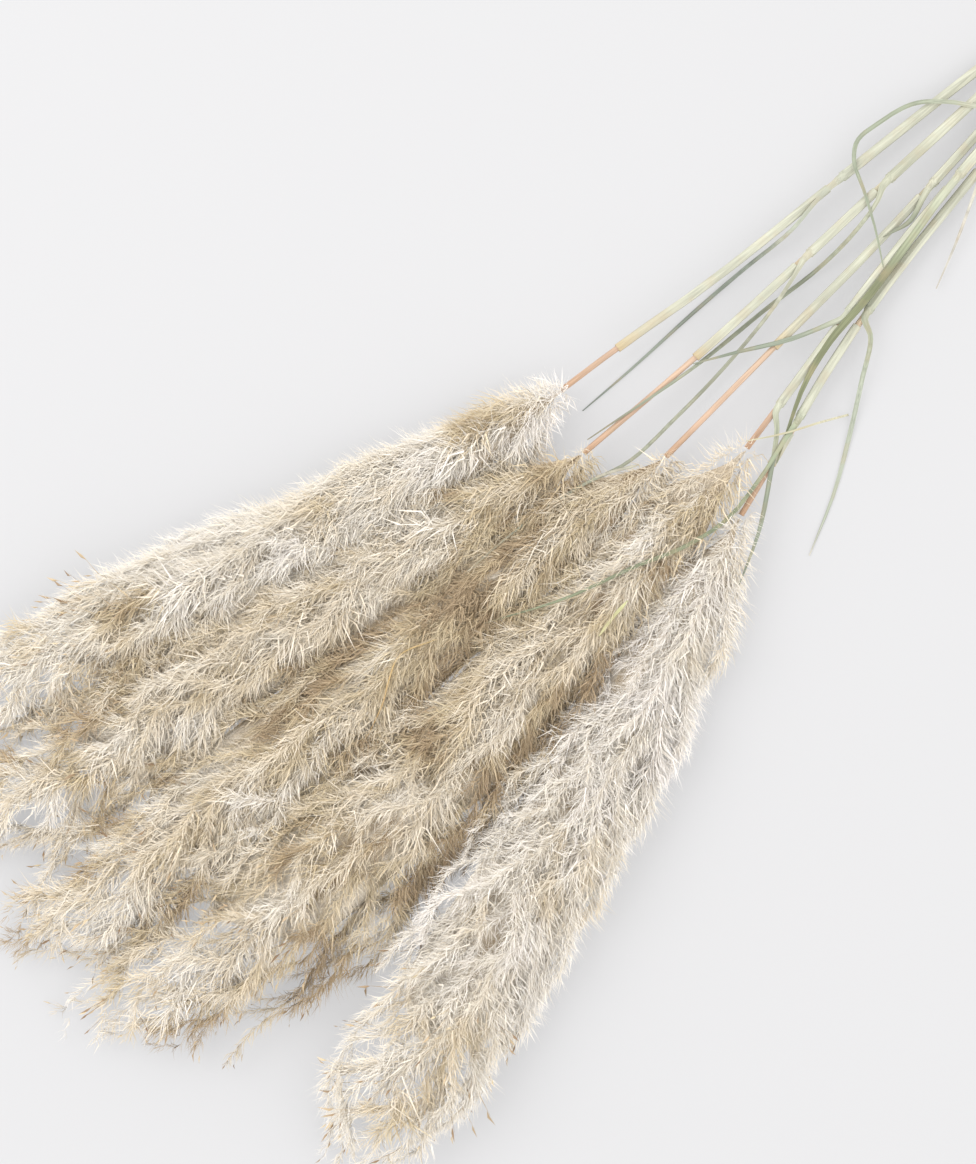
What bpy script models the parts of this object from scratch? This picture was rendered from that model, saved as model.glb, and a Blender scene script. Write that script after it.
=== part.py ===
"""Bundle of dried pampas grass, lying on its side.

Five cut stalks fan out from a twine tie near their cut ends. Each stalk is a stem, the leaf sheaths
that wrap it and a plume. Some sheaths open at their collar into a narrow dry blade, which hangs over
whatever lies below it. Metres, +Z up: X runs along the bundle, from the plume tips to the cut ends.
"""

import math

import bmesh
import bpy
from mathutils import Matrix, Vector
from mathutils.bvhtree import BVHTree

OBJECT_NAME = "pampas_bundle"

# The stems: they are cut square at CUT_X and run parallel for a short waist under the twine.
CUT_X = 0.600
TIE_X = 0.520
WAIST = 0.018
CUT_HEIGHTS = (0.0043, 0.0118)
WAIST_HEIGHTS = (0.0069, 0.0144)
NECK_HEIGHT = 0.020
STEM_STEP = 0.040
PEDUNCLE_RADIUS = 0.0022
SHEATH_TO_STEM = 0.0012

# The leaves: a sheath is rolled nearly shut, and its blade is a shallow arc across.
LEAF_THICKNESS = 0.00045
ACROSS = 6
ROLLED = math.radians(167)
COLLAR_SPREAD = math.radians(50)
BLADE_SPREAD = math.radians(32)
MOUTH = 0.006
MOUTH_RIBS = 4
NEXT_SHEATH = 0.018
BLADE_BASE = 0.022
BLADE_TAPER = 0.45
TIP_WIDTH = 0.0006

# How a blade lies: it keeps clear of what it crosses and sags a little between.
LIE_STEP = 0.004
LIE_GAP = 0.0006
LIE_SAMPLES = (-1.0, -0.5, 0.0, 0.5, 1.0)
SAG = 0.00003
LONGEST_RIB_GAP = 0.016
RIB_ERROR = 0.00012
RIB_REACH = 4
SETTLING_ROUNDS = 600
FROM_ABOVE = 0.5

# The plumes: sizes across and upright follow these shares of a plume's fullness along its spine.
PLUME_SHARES = (
    (0.00, 0.20),
    (0.04, 0.42),
    (0.12, 0.61),
    (0.26, 0.75),
    (0.42, 0.88),
    (0.58, 1.04),
    (0.74, 1.14),
    (0.88, 1.02),
    (0.96, 0.70),
    (1.00, 0.34),
)
PLUME_SIDES = 8
PLUME_FLATNESS = 0.66
PLUME_SINK = 0.64
PLUME_GAP = 0.0005
NECK_BLEND = 0.20
TABLE_SIZE = (2.0, 2.0, 0.1)

# The twine round the waist.
TWINE_RADIUS = 0.0010
TWINE_TURNS = 4
TWINE_PITCH = 0.0023
TWINE_FINE = 60
TWINE_COARSE = 5
TWINE_CLEARANCE = 0.0005
KNOT_SIZE = (0.0062, 0.0050, 0.0034)
TAILS = (
    ((0.003, 0.004, 0.0012), (0.011, 0.011, 0.0008), (0.020, 0.016, -0.0030)),
    ((-0.003, -0.004, 0.0012), (-0.012, -0.009, 0.0010), (-0.024, -0.012, -0.0024)),
)

# Each stalk in plan: its layer in the tie, its place at the cut and in the tie, the points it runs
# through up to the neck of its plume, and its sheaths from the lowest up, as name, top and radius.
STALKS = (
    {
        "name": "01",
        "layer": 0,
        "cut_y": 0.0125,
        "waist_y": 0.0107,
        "way": ((0.386, 0.029), (0.262, 0.045), (0.122, 0.063), (0.047, 0.077)),
        "neck": (-0.005, 0.085),
        "sheaths": (("leaf_01", 0.262, 0.0041), ("sheath_01", 0.047, 0.0036)),
        "spine": ((-0.100, 0.112), (-0.225, 0.150), (-0.365, 0.203), (-0.500, 0.238)),
        "fullness": 0.037,
    },
    {
        "name": "02",
        "layer": 1,
        "cut_y": 0.0060,
        "waist_y": 0.00635,
        "way": ((0.371, 0.014), (0.285, 0.019), (0.180, 0.024), (0.083, 0.030)),
        "neck": (-0.027, 0.040),
        "sheaths": (
            ("leaf_02", 0.285, 0.0042),
            ("leaf_03", 0.203, 0.0038),
            ("sheath_02", 0.083, 0.0036),
        ),
        "spine": ((-0.130, 0.066), (-0.270, 0.109), (-0.430, 0.143), (-0.560, 0.172)),
        "fullness": 0.039,
    },
    {
        "name": "03",
        "layer": 0,
        "cut_y": 0.0020,
        "waist_y": 0.0020,
        "way": ((0.351, -0.005), (0.237, -0.008), (0.130, -0.007)),
        "neck": (0.014, -0.006),
        "sheaths": (
            ("leaf_04", 0.385, 0.0042),
            ("leaf_05", 0.306, 0.0038),
            ("sheath_03", 0.130, 0.0036),
        ),
        "spine": ((-0.115, 0.016), (-0.280, 0.036), (-0.455, 0.054), (-0.588, 0.088)),
        "fullness": 0.041,
    },
    {
        "name": "04",
        "layer": 1,
        "cut_y": -0.0030,
        "waist_y": -0.00235,
        "way": ((0.341, -0.015), (0.258, -0.021), (0.160, -0.032), (0.101, -0.040)),
        "neck": (0.061, -0.045),
        "sheaths": (
            ("leaf_06", 0.324, 0.0042),
            ("leaf_07", 0.192, 0.0039),
            ("leaf_08", 0.106, 0.0036),
        ),
        "spine": ((-0.080, -0.047), (-0.240, -0.048), (-0.430, -0.035), (-0.592, 0.012)),
        "fullness": 0.048,
    },
    {
        "name": "05",
        "layer": 0,
        "cut_y": -0.0085,
        "waist_y": -0.0067,
        "way": ((0.331, -0.025), (0.259, -0.031), (0.170, -0.043), (0.065, -0.067)),
        "neck": (0.022, -0.077),
        "sheaths": (
            ("leaf_09", 0.350, 0.0041),
            ("leaf_10", 0.203, 0.0039),
            ("leaf_11", 0.110, 0.0037),
            ("sheath_05", 0.065, 0.0036),
        ),
        "spine": ((-0.120, -0.121), (-0.290, -0.159), (-0.425, -0.186), (-0.535, -0.207)),
        "fullness": 0.051,
    },
)

# The blades, in the order in which they came to lie: body width and the way in plan from the collar.
BLADES = (
    ("leaf_05", 0.0040, ((0.288, -0.009), (0.270, -0.014), (0.246, -0.008))),
    ("leaf_09", 0.0022, ((0.325, -0.031), (0.284, -0.050), (0.248, -0.064))),
    (
        "leaf_10",
        0.0036,
        ((0.186, -0.053), (0.160, -0.071), (0.124, -0.094), (0.085, -0.116), (0.037, -0.136)),
    ),
    (
        "leaf_01",
        0.0030,
        ((0.240, 0.047), (0.200, 0.045), (0.159, 0.050), (0.104, 0.055), (0.053, 0.058), (-0.004, 0.063)),
    ),
    (
        "leaf_02",
        0.0032,
        ((0.262, 0.014), (0.236, 0.010), (0.200, 0.010), (0.150, 0.017), (0.081, 0.025), (-0.018, 0.045)),
    ),
    (
        "leaf_03",
        0.0028,
        (
            (0.180, 0.020),
            (0.150, 0.014),
            (0.109, 0.010),
            (0.040, 0.009),
            (-0.011, 0.012),
            (-0.045, 0.024),
            (-0.090, 0.034),
            (-0.154, 0.041),
        ),
    ),
    ("leaf_08", 0.0036, ((0.087, -0.051), (0.058, -0.072), (0.024, -0.094), (-0.017, -0.112))),
    ("leaf_07", 0.0036, ((0.170, -0.024), (0.145, -0.013), (0.108, 0.010), (0.078, 0.028))),
    (
        "leaf_06",
        0.0058,
        (
            (0.300, -0.018),
            (0.258, -0.024),
            (0.205, -0.031),
            (0.160, -0.034),
            (0.124, -0.043),
            (0.095, -0.056),
            (0.068, -0.069),
        ),
    ),
    (
        "leaf_04",
        0.0034,
        (
            (0.368, 0.006),
            (0.353, 0.027),
            (0.336, 0.044),
            (0.306, 0.054),
            (0.282, 0.0555),
            (0.273, 0.049),
            (0.260, 0.026),
            (0.246, 0.001),
            (0.229, -0.024),
        ),
    ),
    (
        "leaf_11",
        0.0030,
        (
            (0.090, -0.060),
            (0.050, -0.068),
            (0.010, -0.071),
            (-0.024, -0.063),
            (-0.060, -0.047),
            (-0.114, -0.026),
            (-0.171, 0.005),
        ),
    ),
)
STRIP_WIDTH = 0.0016
STRIP_WAY = ((0.134, -0.083), (0.113, -0.071), (0.089, -0.058), (0.064, -0.041))

FINISHES = {
    "stem": ((0.74, 0.55, 0.38), 0.55),
    "sheath": ((0.72, 0.74, 0.56), 0.50),
    "leaf": ((0.52, 0.57, 0.42), 0.55),
    "strip": ((0.66, 0.68, 0.50), 0.55),
    "plume": ((0.80, 0.74, 0.66), 0.95),
    "twine": ((0.62, 0.48, 0.32), 0.90),
}


def clear_scene():
    for obj in list(bpy.data.objects):
        bpy.data.objects.remove(obj, do_unlink=True)


def collection(name, hidden=False):
    made = bpy.data.collections.new(name)
    bpy.context.scene.collection.children.link(made)
    made.hide_render = hidden
    return made


def material(name, colour, roughness):
    made = bpy.data.materials.new(name)
    made.use_nodes = True
    shader = made.node_tree.nodes["Principled BSDF"]
    shader.inputs["Base Color"].default_value = (*colour, 1.0)
    shader.inputs["Roughness"].default_value = roughness
    shader.inputs["Metallic"].default_value = 0.0
    return made


def add_object(name, data, finish=None, helper=False):
    obj = bpy.data.objects.new(name, data)
    (helpers if helper else parts).objects.link(obj)
    obj.parent = bundle
    if helper:
        obj.hide_render = True
        obj.display_type = "WIRE"
    if finish:
        data.materials.append(finishes[finish])
    return obj


def mesh_from(name, bm, smooth=True):
    bmesh.ops.recalc_face_normals(bm, faces=bm.faces)
    data = bpy.data.meshes.new(name)
    bm.to_mesh(data)
    bm.free()
    if smooth:
        data.shade_smooth()
    return data


def evaluated(obj):
    graph = bpy.context.evaluated_depsgraph_get()
    return obj.evaluated_get(graph)


def smooth_through(points, step, start_way=None):
    """Evenly spaced points on a smooth curve through the given ones, leaving the first along start_way."""
    gaps = [(b - a).length for a, b in zip(points, points[1:])]
    slopes = [(b - a) / gap for a, b, gap in zip(points, points[1:], gaps)]
    turns = [start_way or slopes[0]]
    for before, after, gap, next_gap in zip(slopes, slopes[1:], gaps, gaps[1:]):
        turns.append((before * next_gap + after * gap) / (gap + next_gap))
    turns.append(slopes[-1])
    fine = [points[0]]
    for i, gap in enumerate(gaps):
        pieces = max(2, math.ceil(gap / 0.001))
        for piece in range(1, pieces + 1):
            t = piece / pieces
            fine.append(
                points[i] * (2 * t**3 - 3 * t**2 + 1)
                + turns[i] * gap * (t**3 - 2 * t**2 + t)
                + points[i + 1] * (3 * t**2 - 2 * t**3)
                + turns[i + 1] * gap * (t**3 - t**2)
            )
    return evenly(fine, step)


def evenly(points, step):
    lengths = [0.0]
    for a, b in zip(points, points[1:]):
        lengths.append(lengths[-1] + (b - a).length)
    count = max(1, round(lengths[-1] / step))
    spaced, k = [], 0
    for i in range(count + 1):
        target = lengths[-1] * i / count
        while k < len(points) - 2 and lengths[k + 1] < target:
            k += 1
        share = (target - lengths[k]) / (lengths[k + 1] - lengths[k])
        spaced.append(points[k].lerp(points[k + 1], share))
    return spaced


def directions(points):
    """The unit direction at each point of a polyline."""
    ends = zip([points[0], *points[:-1]], [*points[1:], points[-1]])
    return [(after - before).normalized() for before, after in ends]


def upright(along):
    """The direction nearest to straight up that is square to `along`."""
    up = Vector((0, 0, 1))
    return (up - along * up.dot(along)).normalized()


def stem_points(stalk):
    """The stem's axis, from the cut end up to the neck of the plume."""
    layer = stalk["layer"]
    waist_z = WAIST_HEIGHTS[layer]
    waist = (TIE_X - WAIST, stalk["waist_y"])
    span = waist[0] - stalk["neck"][0]
    points = []
    for x, y in (waist, *stalk["way"], stalk["neck"]):
        climb = (waist[0] - x) / span
        points.append(Vector((x, y, waist_z + climb * (NECK_HEIGHT - waist_z))))
    return [
        Vector((CUT_X, stalk["cut_y"], CUT_HEIGHTS[layer])),
        Vector((TIE_X + WAIST, stalk["waist_y"], waist_z)),
        *smooth_through(points, STEM_STEP, start_way=Vector((-1, 0, 0))),
    ]


def stretch(points, start_x, end_x):
    """The points of a stem between two places, with the ends cut exactly there."""
    inner = [p for p in points if end_x < p.x < start_x]
    return [place_at(points, start_x), *inner, place_at(points, end_x)]


def place_at(points, x):
    for a, b in zip(points, points[1:]):
        if b.x <= x <= a.x:
            return a.lerp(b, (a.x - x) / (a.x - b.x))
    return points[0] if x > points[0].x else points[-1]


def make_stem(stalk, points):
    """The stem: a round rod that thins in a step below each sheath."""
    limits = [(top, radius - SHEATH_TO_STEM) for _, top, radius in stalk["sheaths"]]

    def radius_at(x):
        for top, radius in limits:
            if x > top + MOUTH / 2:
                return radius
        return PEDUNCLE_RADIUS

    places = [*points]
    for top, _ in limits:
        places += [place_at(points, top + MOUTH), place_at(points, top)]
    places.sort(key=lambda p: -p.x)
    curve = bpy.data.curves.new(f"stem_{stalk['name']}", "CURVE")
    curve.dimensions = "3D"
    curve.bevel_depth = PEDUNCLE_RADIUS
    curve.bevel_resolution = 2
    curve.use_fill_caps = True
    spline = curve.splines.new("POLY")
    spline.points.add(len(places) - 1)
    for point, place in zip(spline.points, places):
        point.co = (*place, 1)
        point.radius = radius_at(place.x) / PEDUNCLE_RADIUS
    return add_object(curve.name, curve, "stem")


def rolled_ribs(points, radius):
    """Ribs of a sheath: arcs that go nearly all the way round the stem."""
    middle = radius - LEAF_THICKNESS / 2
    ribs = []
    for place, along in zip(points, directions(points)):
        up = upright(along)
        ribs.append((place + up * middle, along, up, ROLLED, middle))
    return ribs


def make_sheet(name, ribs, finish, across=ACROSS):
    """A thin sheet through its ribs. Each rib is an arc: top point, direction, up, half angle, radius."""
    bm = bmesh.new()
    last = len(ribs) - 1
    bmesh.ops.create_grid(bm, x_segments=last, y_segments=across, size=1)
    for vert in bm.verts:
        top, along, up, half_angle, radius = ribs[round((vert.co.x + 1) / 2 * last)]
        turn = vert.co.y * half_angle
        side = along.cross(up)
        vert.co = top + radius * (up * (math.cos(turn) - 1) + side * math.sin(turn))
    obj = add_object(name, mesh_from(name, bm), finish)
    wall = obj.modifiers.new("thickness", "SOLIDIFY")
    wall.thickness = LEAF_THICKNESS
    wall.offset = 0
    return obj


def surface_tree(obj):
    return BVHTree.FromObject(evaluated(obj), bpy.context.evaluated_depsgraph_get())


def top_at(x, y, below):
    """Height of the highest surface under a point, with the table at zero."""
    start, down = Vector((x, y, FROM_ABOVE)), Vector((0, 0, -1))
    hits = [tree.ray_cast(start, down)[0] for tree in below]
    return max([0.0, *(hit.z for hit in hits if hit)])


def blade_width(share, length, collar_width, width):
    """A blade narrows from its collar to an even body, and then to a fine tip."""
    base = max(0.0, 1 - share * length / BLADE_BASE)
    taper = min(1.0, (1 - share) / BLADE_TAPER) ** 0.8
    return TIP_WIDTH + (width - TIP_WIDTH) * taper + (collar_width - width) * base**2


def blade_spread(i, collar_spread):
    """Half the angle of a blade's arc: as wide as the collar's at its base, and soon shallower."""
    base = max(0.0, 1 - i * LIE_STEP / BLADE_BASE)
    return BLADE_SPREAD + (collar_spread - BLADE_SPREAD) * base


def lying_blade(way, width, below, collar_width=None, collar=None):
    """A blade's middle line where it lies, and its width at each point.

    A leaf's blade starts at its collar: the place and the direction in which it leaves the sheath.
    """
    points = [Vector((x, y, 0)) for x, y in way]
    start_way = None
    if collar:
        points.insert(0, Vector((*collar[0].xy, 0)))
        start_way = Vector((*collar[1].xy, 0)).normalized()
    collar_width = collar_width or width
    collar_spread = COLLAR_SPREAD if collar else BLADE_SPREAD
    plan = smooth_through(points, LIE_STEP, start_way)
    count = len(plan)
    length = (count - 1) * LIE_STEP
    widths = [blade_width(i / (count - 1), length, collar_width, width) for i in range(count)]
    clear = LEAF_THICKNESS / 2 + LIE_GAP
    needed = []
    for i, (place, along, wide) in enumerate(zip(plan, directions(plan), widths)):
        spread = blade_spread(i, collar_spread)
        arc = wide / 2 / spread
        side = Vector((-along.y, along.x, 0)) * (arc + LIE_GAP)
        tops = []
        for share in LIE_SAMPLES:
            under = place + side * math.sin(share * spread)
            drop = arc * (1 - math.cos(share * spread))
            tops.append(top_at(under.x, under.y, below) + drop)
        needed.append(max(tops) + clear)
    over = [max(needed[max(0, i - RIB_REACH) : i + RIB_REACH + 1]) for i in range(count)]
    heights = list(over)
    if collar:
        heights[0] = collar[0].z
    for _ in range(SETTLING_ROUNDS):
        for i in range(1, count - 1):
            heights[i] = max(over[i], (heights[i - 1] + heights[i + 1]) / 2 - SAG)
        heights[-1] = max(over[-1], heights[-2] - 2 * SAG)
    line = [Vector((p.x, p.y, z)) for p, z in zip(plan, heights)]
    return line, widths


def blade_ribs(line, widths, collar_spread=BLADE_SPREAD):
    """Ribs along a lying blade, closer together where it bends."""
    along = directions(line)
    kept = [0]
    while kept[-1] < len(line) - 1:
        first = kept[-1]
        reach = first + 1
        while reach < len(line) - 1 and spans_well(line[first : reach + 2]):
            reach += 1
        kept.append(reach)
    ribs = []
    for i in kept:
        spread = blade_spread(i, collar_spread)
        ribs.append((line[i], along[i], upright(along[i]), spread, widths[i] / 2 / spread))
    return ribs


def spans_well(line):
    """True where a straight run from the first point to the last stays close to those between."""
    first, last = line[0], line[-1]
    if (len(line) - 1) * LIE_STEP > LONGEST_RIB_GAP:
        return False
    shares = [i / (len(line) - 1) for i in range(len(line))]
    return all((first.lerp(last, t) - p).length < RIB_ERROR for t, p in zip(shares, line))


def make_leaf(name, sheath_points, radius, blade):
    """A whole leaf: the sheath round its stem, opening at the collar into a blade."""
    ribs = rolled_ribs(sheath_points, radius)
    top, along, up, _, middle = ribs[-1]
    _, width, way = blade
    for i in range(1, MOUTH_RIBS + 1):
        share = i / MOUTH_RIBS
        spread = ROLLED + (COLLAR_SPREAD - ROLLED) * share
        ribs.append((top + along * MOUTH * share, along, up, spread, middle))
    start = top + along * (MOUTH + LIE_STEP / 2)
    collar_width = 2 * COLLAR_SPREAD * middle
    line, widths = lying_blade(way, width, surfaces, collar_width, (start, along))
    ribs += blade_ribs(line, widths, COLLAR_SPREAD)
    return make_sheet(name, ribs, "leaf")


def make_strip(name, below):
    """A torn leaf strip that lies across two of the stalks."""
    line, widths = lying_blade(STRIP_WAY, STRIP_WIDTH, below)
    return make_sheet(name, blade_ribs(line, widths), "strip", across=2)


def plume_spine(stalk):
    """The middle of a plume, sinking from the neck to where the plume lies on the table."""
    neck = Vector((*stalk["neck"], 0))
    return smooth_through([neck, *(Vector((x, y, 0)) for x, y in stalk["spine"])], LIE_STEP)


def make_plume(stalk, table):
    """A soft plume, rounded from an eight-sided cage and pressed flat where it lies on the table."""
    spine = plume_spine(stalk)
    along = directions(spine)
    fullness = stalk["fullness"]
    bm = bmesh.new()
    rings = []
    for share, size in PLUME_SHARES:
        i = round(share * (len(spine) - 1))
        wide = fullness * size
        tall = wide * PLUME_FLATNESS + fullness * 0.06
        lying = tall * PLUME_SINK
        height = lying + max(0.0, 1 - share / NECK_BLEND) * (NECK_HEIGHT - lying)
        side = Vector((-along[i].y, along[i].x, 0))
        place = Matrix.Identity(4)
        place.col[0] = (*(side * wide), 0)
        place.col[1] = (0, 0, tall, 0)
        place.col[2] = (*along[i], 0)
        shift = -LIE_GAP * along[i] if share == 0 else Vector()
        place.col[3] = (spine[i].x - shift.x, spine[i].y - shift.y, height, 1)
        made = bmesh.ops.create_circle(
            bm, cap_ends=share in (0.0, 1.0), segments=PLUME_SIDES, radius=1, matrix=place
        )
        verts = set(made["verts"])
        rings.append([e for e in bm.edges if set(e.verts) <= verts])
    for ring, following in zip(rings, rings[1:]):
        bmesh.ops.bridge_loops(bm, edges=ring + following)
    name = f"plume_{stalk['name']}"
    obj = add_object(name, mesh_from(name, bm), "plume")
    soften(obj)
    take_away(obj, table)
    return obj


def soften(obj):
    rounding = obj.modifiers.new("rounding", "SUBSURF")
    rounding.levels = rounding.render_levels = 1


def take_away(obj, cutter):
    cut = obj.modifiers.new(f"less {cutter.name}", "BOOLEAN")
    cut.operation = "DIFFERENCE"
    cut.solver = "EXACT"
    cut.object = cutter


def clearance_round(plume):
    """The space a plume takes from its neighbours, a little larger than itself."""
    cutter = add_object(f"{plume.name}_space", plume.data.copy(), helper=True)
    soften(cutter)
    grown = cutter.modifiers.new("clearance", "DISPLACE")
    grown.strength = PLUME_GAP
    grown.mid_level = 0
    return cutter


def make_table():
    """A block that fills the space below the table, as a cutter."""
    bm = bmesh.new()
    place = Matrix.Translation((0, 0, -TABLE_SIZE[2] / 2)) @ Matrix.Diagonal((*TABLE_SIZE, 1))
    bmesh.ops.create_cube(bm, size=1, matrix=place)
    return add_object("table", mesh_from("table", bm, smooth=False), helper=True)


def make_plumes():
    """The plumes, each pressed back by those that lie on or beside it. The last lies on top."""
    table = make_table()
    spaces = []
    made = []
    for stalk in reversed(STALKS):
        plume = make_plume(stalk, table)
        spaces.append(clearance_round(plume))
        for space in spaces[:-1][-2:]:
            take_away(plume, space)
        made.append(plume)
    return made


def poly_tube(name, points, radius, finish=None, resolution=1):
    """A round tube through the points, as a closed mesh."""
    curve = bpy.data.curves.new(name, "CURVE")
    curve.dimensions = "3D"
    curve.bevel_depth = radius
    curve.bevel_resolution = resolution
    curve.use_fill_caps = True
    spline = curve.splines.new("POLY")
    spline.points.add(len(points) - 1)
    for point, place in zip(spline.points, points):
        point.co = (*place, 1)
    guide = add_object(name + "_guide", curve, helper=True)
    data = bpy.data.meshes.new_from_object(evaluated(guide))
    bpy.data.objects.remove(guide)
    bm = bmesh.new()
    bm.from_mesh(data)
    bmesh.ops.remove_doubles(bm, verts=bm.verts, dist=0.00001)
    return add_object(name, mesh_from(name, bm), finish, helper=finish is None)


def outermost_stem(turn):
    """The middle of the stem that stands out most at an angle about the waist, and that direction."""
    ray = Vector((0, math.cos(turn), math.sin(turn)))
    stems = [Vector((0, s["waist_y"], WAIST_HEIGHTS[s["layer"]])) for s in STALKS]
    return max(stems, key=ray.dot), ray


def make_tie():
    """The twine: a few turns round the waist, a knot on top and two loose tails."""
    reach = max(radius for s in STALKS for _, _, radius in s["sheaths"][:1])
    reach += TWINE_CLEARANCE + TWINE_RADIUS
    count = TWINE_TURNS * TWINE_FINE
    turns = [math.pi / 2 + 2 * math.pi * i / TWINE_FINE for i in range(-1, count + 2)]
    stems = [outermost_stem(turn) for turn in turns]
    wraps = []
    for i in range(1, count + 2):
        stem, ray = stems[i]
        leaves_stem = stems[i - 1][0] != stem or stems[i + 1][0] != stem
        if leaves_stem or (i - 1) % TWINE_COARSE == 0:
            shift = TIE_X + TWINE_PITCH * TWINE_TURNS * ((i - 1) / count - 0.5)
            wraps.append(stem + ray * reach + Vector((shift, 0, 0)))
    tie = poly_tube("twine_tie", wraps, TWINE_RADIUS, "twine")
    top = WAIST_HEIGHTS[1] + reach + TWINE_RADIUS
    knot_place = Vector((TIE_X, (STALKS[1]["waist_y"] + STALKS[3]["waist_y"]) / 2, top))
    bm = bmesh.new()
    size = Matrix.Diagonal((*KNOT_SIZE, 1))
    bmesh.ops.create_icosphere(bm, subdivisions=1, radius=1, matrix=Matrix.Translation(knot_place) @ size)
    pieces = [add_object("twine_knot", mesh_from("twine_knot", bm), helper=True)]
    for i, tail in enumerate(TAILS):
        points = smooth_through([knot_place, *(knot_place + Vector(p) for p in tail)], 0.005)
        pieces.append(poly_tube(f"twine_tail_{i}", points, TWINE_RADIUS))
    for piece in pieces:
        joined = tie.modifiers.new(f"with {piece.name}", "BOOLEAN")
        joined.operation = "UNION"
        joined.solver = "EXACT"
        joined.object = piece
    return tie


def centre_on_base():
    """Moves the bundle so that the middle of its base is the origin."""
    bpy.context.view_layer.update()
    corners = []
    for obj in set(parts.objects) - {bundle}:
        mesh = evaluated(obj).to_mesh()
        corners += [v.co.copy() for v in mesh.vertices]
        evaluated(obj).to_mesh_clear()
    lowest = Vector(min(c[i] for c in corners) for i in range(3))
    highest = Vector(max(c[i] for c in corners) for i in range(3))
    middle = (lowest + highest) / 2
    bundle.location = (-middle.x, -middle.y, -lowest.z)


clear_scene()
parts = collection(OBJECT_NAME)
helpers = collection("cutters", hidden=True)
bundle = bpy.data.objects.new("bundle_origin", None)
parts.objects.link(bundle)
finishes = {name: material(name, *look) for name, look in FINISHES.items()}

surfaces = []
blades = {blade[0]: blade for blade in BLADES}
sheath_stretches = {}
for stalk in STALKS:
    axis = stem_points(stalk)
    surfaces.append(surface_tree(make_stem(stalk, axis)))
    bottom = axis[0].x - 0.001
    for node, top, radius in stalk["sheaths"]:
        sheath_stretches[node] = (stretch(axis, bottom, top), radius)
        bottom = top - NEXT_SHEATH
for node, (points, radius) in sheath_stretches.items():
    if node not in blades:
        bare = make_sheet(node, rolled_ribs(points, radius), "sheath")
        surfaces.append(surface_tree(bare))
surfaces += [surface_tree(plume) for plume in make_plumes()]
rolled = {}
for node, (points, radius) in sheath_stretches.items():
    if node in blades:
        guide = make_sheet(f"{node}_rolled", rolled_ribs(points, radius), "leaf")
        rolled[node] = surface_tree(guide)
        bpy.data.objects.remove(guide)
for blade in BLADES:
    node = blade[0]
    own = rolled.pop(node)
    surfaces += rolled.values()
    leaf = make_leaf(node, *sheath_stretches[node], blade)
    if rolled:
        del surfaces[-len(rolled) :]
    surfaces.append(surface_tree(leaf))
make_strip("leaf_strip", surfaces)
make_tie()
centre_on_base()
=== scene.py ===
import heapq
import math
import random

import bmesh
import bpy
import numpy as np
from mathutils import Matrix, Vector, noise
from mathutils.bvhtree import BVHTree


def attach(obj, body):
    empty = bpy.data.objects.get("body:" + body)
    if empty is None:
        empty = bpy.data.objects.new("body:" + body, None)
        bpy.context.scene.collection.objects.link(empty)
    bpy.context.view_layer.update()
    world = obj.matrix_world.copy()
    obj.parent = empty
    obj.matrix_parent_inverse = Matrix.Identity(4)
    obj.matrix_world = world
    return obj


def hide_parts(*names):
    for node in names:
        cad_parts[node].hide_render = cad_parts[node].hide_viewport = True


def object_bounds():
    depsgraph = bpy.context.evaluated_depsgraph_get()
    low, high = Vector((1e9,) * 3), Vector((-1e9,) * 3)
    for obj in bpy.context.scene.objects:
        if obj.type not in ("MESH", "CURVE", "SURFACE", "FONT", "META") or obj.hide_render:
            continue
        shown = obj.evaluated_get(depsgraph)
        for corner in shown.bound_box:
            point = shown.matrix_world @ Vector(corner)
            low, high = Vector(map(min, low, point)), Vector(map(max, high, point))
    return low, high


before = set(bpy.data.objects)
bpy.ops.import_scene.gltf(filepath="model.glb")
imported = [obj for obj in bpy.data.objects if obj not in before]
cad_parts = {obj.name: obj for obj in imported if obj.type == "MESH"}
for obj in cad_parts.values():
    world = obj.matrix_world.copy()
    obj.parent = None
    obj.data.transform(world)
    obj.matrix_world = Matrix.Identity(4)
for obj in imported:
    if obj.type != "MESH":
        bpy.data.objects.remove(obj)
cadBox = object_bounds()
up = Vector((0, 0, 1))
weld = 1e-6


def lift(value, low, high):
    return low + (high - low) * value


def clamp(value, low=0, high=1):
    return min(high, max(low, value))


def addNode(tree, kind, place, inputs=None, **settings):
    node = tree.nodes.new(kind)
    node.location = place
    for key, value in settings.items():
        setattr(node, key, value)
    for key, value in (inputs or {}).items():
        node.inputs[key].default_value = value
    return node


def startMaterial(name, look):
    made = bpy.data.materials.new(name)
    made.use_nodes = True
    shader = made.node_tree.nodes["Principled BSDF"]
    shader.inputs["Roughness"].default_value = look["roughness"]
    shader.inputs["Specular IOR Level"].default_value = look["specular"]
    return made, made.node_tree, shader


def colourRamp(tree, stops, place):
    ramp = addNode(tree, "ShaderNodeValToRGB", place)
    elements = ramp.color_ramp.elements
    elements[0].position, elements[0].color = stops[0][0], (*stops[0][1], 1)
    elements[1].position, elements[1].color = stops[-1][0], (*stops[-1][1], 1)
    for position, colour in stops[1:-1]:
        elements.new(position).color = (*colour, 1)
    return ramp


def finishPiece(obj, material, slot, *nodes):
    obj.data.materials.clear()
    obj.data.materials.append(material)
    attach(obj, "root")
    if nodes:
        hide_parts(*nodes)


def objectFrom(name, bm):
    data = bpy.data.meshes.new(name)
    bm.to_mesh(data)
    bm.free()
    data.shade_smooth()
    return linked(name, data)


def linked(name, data):
    obj = bpy.data.objects.new(name, data)
    bpy.context.scene.collection.objects.link(obj)
    return obj


def floatLayers(bm, *names):
    # all are made before any is fetched, because a new layer moves the others
    for name in names:
        bm.verts.layers.float.new(name)
    return [bm.verts.layers.float[name] for name in names]


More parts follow.
